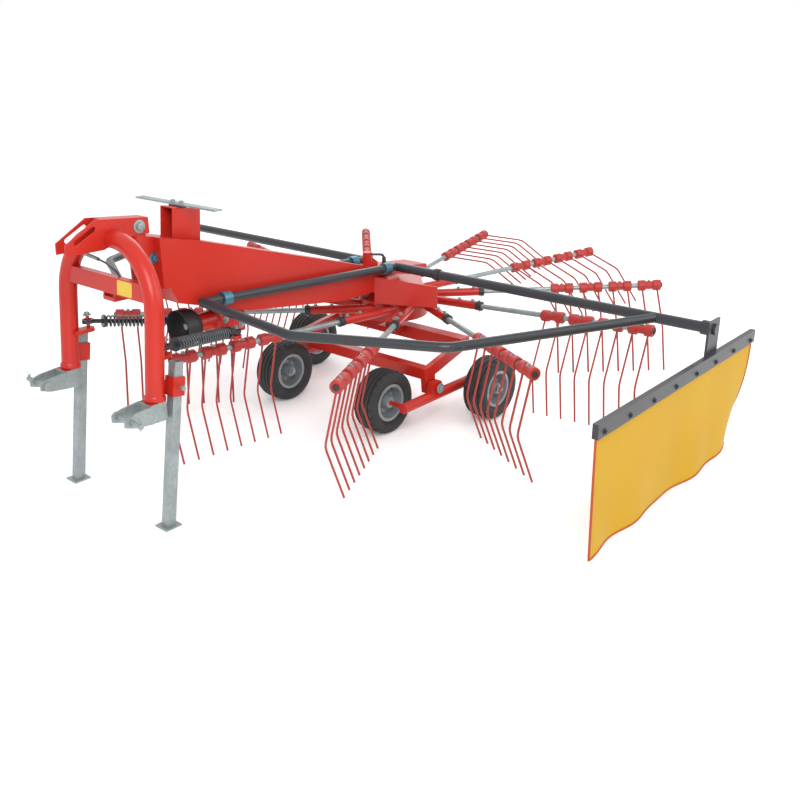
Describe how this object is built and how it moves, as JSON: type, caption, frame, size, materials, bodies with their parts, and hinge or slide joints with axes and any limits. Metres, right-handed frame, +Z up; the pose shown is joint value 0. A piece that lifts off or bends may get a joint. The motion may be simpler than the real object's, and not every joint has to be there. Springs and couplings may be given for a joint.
{
  "type": "rotary hay rake",
  "caption": "Mounted rotary hay rake: spring-tine rotor under a beam, swinging three-point headstock, tandem wheels, folding guard hoops and a side swath curtain.",
  "frame": {"origin": "on the ground under the middle of the machine's outer box", "axes": "+X forward to the tractor, +Y to the machine's left (the curtain side), +Z up"},
  "size_m": [4.2501, 4.31, 1.513],
  "materials": {
    "red_paint": "gloss red paint",
    "black_paint": "satin dark grey paint",
    "galvanised": "galvanised",
    "tine_wire": "red dipped spring wire",
    "zinc_blue": "blue zinc plate",
    "tyre": "matt rubber",
    "rim": "satin grey paint",
    "curtain_cloth": "coated cloth",
    "red_plastic": "matt red",
    "black_spring": "black enamel",
    "black_plastic": "matt black"
  },
  "bodies": {
    "frame": {"main_beam": "red_paint", "tower": "red_paint", "arm_rack": "galvanised", "bearing_box": "red_paint", "power_shaft": "galvanised", "shaft_guard": "black_plastic", "gearbox": "red_paint", "column": "red_paint", "chassis": "red_paint", "tandem_left": "red_paint", "tandem_right": "red_paint", "crank_post": "red_paint", "crank": "black_paint", "hinge_clamps": "zinc_blue", "rotor_shields": "red_paint"},
    "rotor": {"drum": "red_paint", "arms": "galvanised", "arm_collars": "black_plastic", "tine_holders": "red_plastic", "tines_1": "tine_wire", "tines_2": "tine_wire", "tines_3": "tine_wire", "tines_4": "tine_wire", "tines_5": "tine_wire", "tines_6": "tine_wire", "tines_7": "tine_wire", "tines_8": "tine_wire", "tines_9": "tine_wire", "tines_10": "tine_wire", "tines_11": "tine_wire"},
    "headstock": {"headstock": "red_paint", "top_link_bracket": "red_paint", "swing_pin": "galvanised", "hitch_clevises": "galvanised", "hitch_pins": "galvanised"},
    "stand_left": {"stand_left": "galvanised"},
    "stand_right": {"stand_right": "galvanised"},
    "strut_left": {"strut_tube_left": "black_paint", "strut_spring_left": "black_spring"},
    "strut_right": {"strut_tube_right": "black_paint", "strut_spring_right": "black_spring"},
    "strut_rod_left": {"strut_rod_left": "black_paint"},
    "strut_rod_right": {"strut_rod_right": "black_paint"},
    "guard_left": {"guard_left": "black_paint", "curtain_bar": "black_paint", "curtain": "curtain_cloth"},
    "guard_right": {"guard_right": "black_paint"},
    "wheel_front_left": {"tyre_front_left": "tyre", "rim_front_left": "rim"},
    "wheel_front_right": {"tyre_front_right": "tyre", "rim_front_right": "rim"},
    "wheel_rear_left": {"tyre_rear_left": "tyre", "rim_rear_left": "rim"},
    "wheel_rear_right": {"tyre_rear_right": "tyre", "rim_rear_right": "rim"}
  },
  "joints": [
    {"name": "rotor_spin", "type": "hinge", "parent": "frame", "child": "rotor", "pos_m": [-0.28867, -0.155, 0.627], "axis": [0.0218, 0, 0.9998], "continuous": true},
    {"name": "headstock_swing", "type": "hinge", "parent": "frame", "child": "headstock", "pos_m": [1.66933, -0.155, 1.25], "axis": [0, 0, 1], "range_deg": [-15, 15], "stiffness_Nm_per_rad": 1500},
    {"name": "stand_left_slide", "type": "slide", "parent": "headstock", "child": "stand_left", "axis": [-0.165, 0, 0.9863], "range_m": [0, 0.45]},
    {"name": "stand_right_slide", "type": "slide", "parent": "headstock", "child": "stand_right", "axis": [-0.165, 0, 0.9863], "range_m": [0, 0.45]},
    {"name": "strut_left_turn", "type": "hinge", "parent": "frame", "child": "strut_left", "pos_m": [1.20433, -0.005, 0.804], "axis": [0, 0, 1], "range_deg": [-7, 7]},
    {"name": "strut_left_slide", "type": "slide", "parent": "strut_left", "child": "strut_rod_left", "axis": [0.9415, 0.2975, 0.1582], "range_m": [-0.08, 0.08], "deforming": ["strut_spring_left"]},
    {"name": "strut_right_turn", "type": "hinge", "parent": "frame", "child": "strut_right", "pos_m": [1.20433, -0.305, 0.804], "axis": [0, 0, 1], "range_deg": [-7, 7]},
    {"name": "strut_right_slide", "type": "slide", "parent": "strut_right", "child": "strut_rod_right", "axis": [0.9415, -0.2975, 0.1582], "range_m": [-0.08, 0.08], "deforming": ["strut_spring_right"]},
    {"name": "guard_left_fold", "type": "hinge", "parent": "frame", "child": "guard_left", "pos_m": [-0.18567, -0.01, 0.911], "axis": [0.9981, 0, 0.0611], "range_deg": [0, 90]},
    {"name": "guard_right_fold", "type": "hinge", "parent": "frame", "child": "guard_right", "pos_m": [-0.18567, -0.3, 0.911], "axis": [-0.9981, 0, -0.0611], "range_deg": [0, 90]},
    {"name": "wheel_front_left_spin", "type": "hinge", "parent": "frame", "child": "wheel_front_left", "pos_m": [0.32433, 0.291, 0.2], "axis": [0, 1, 0], "continuous": true},
    {"name": "wheel_front_right_spin", "type": "hinge", "parent": "frame", "child": "wheel_front_right", "pos_m": [0.32433, -0.601, 0.2], "axis": [0, 1, 0], "continuous": true},
    {"name": "wheel_rear_left_spin", "type": "hinge", "parent": "frame", "child": "wheel_rear_left", "pos_m": [-0.29867, 0.659, 0.2], "axis": [0, 1, 0], "continuous": true},
    {"name": "wheel_rear_right_spin", "type": "hinge", "parent": "frame", "child": "wheel_rear_right", "pos_m": [-0.29867, -0.969, 0.2], "axis": [0, 1, 0], "continuous": true}
  ],
  "couplings": [
    {"joint": "strut_left_turn", "follows": "headstock_swing", "ratio": 0.36},
    {"joint": "strut_left_slide", "follows": "headstock_swing", "m_per_rad": -0.285},
    {"joint": "strut_right_turn", "follows": "headstock_swing", "ratio": 0.36},
    {"joint": "strut_right_slide", "follows": "headstock_swing", "m_per_rad": 0.285}
  ]
}
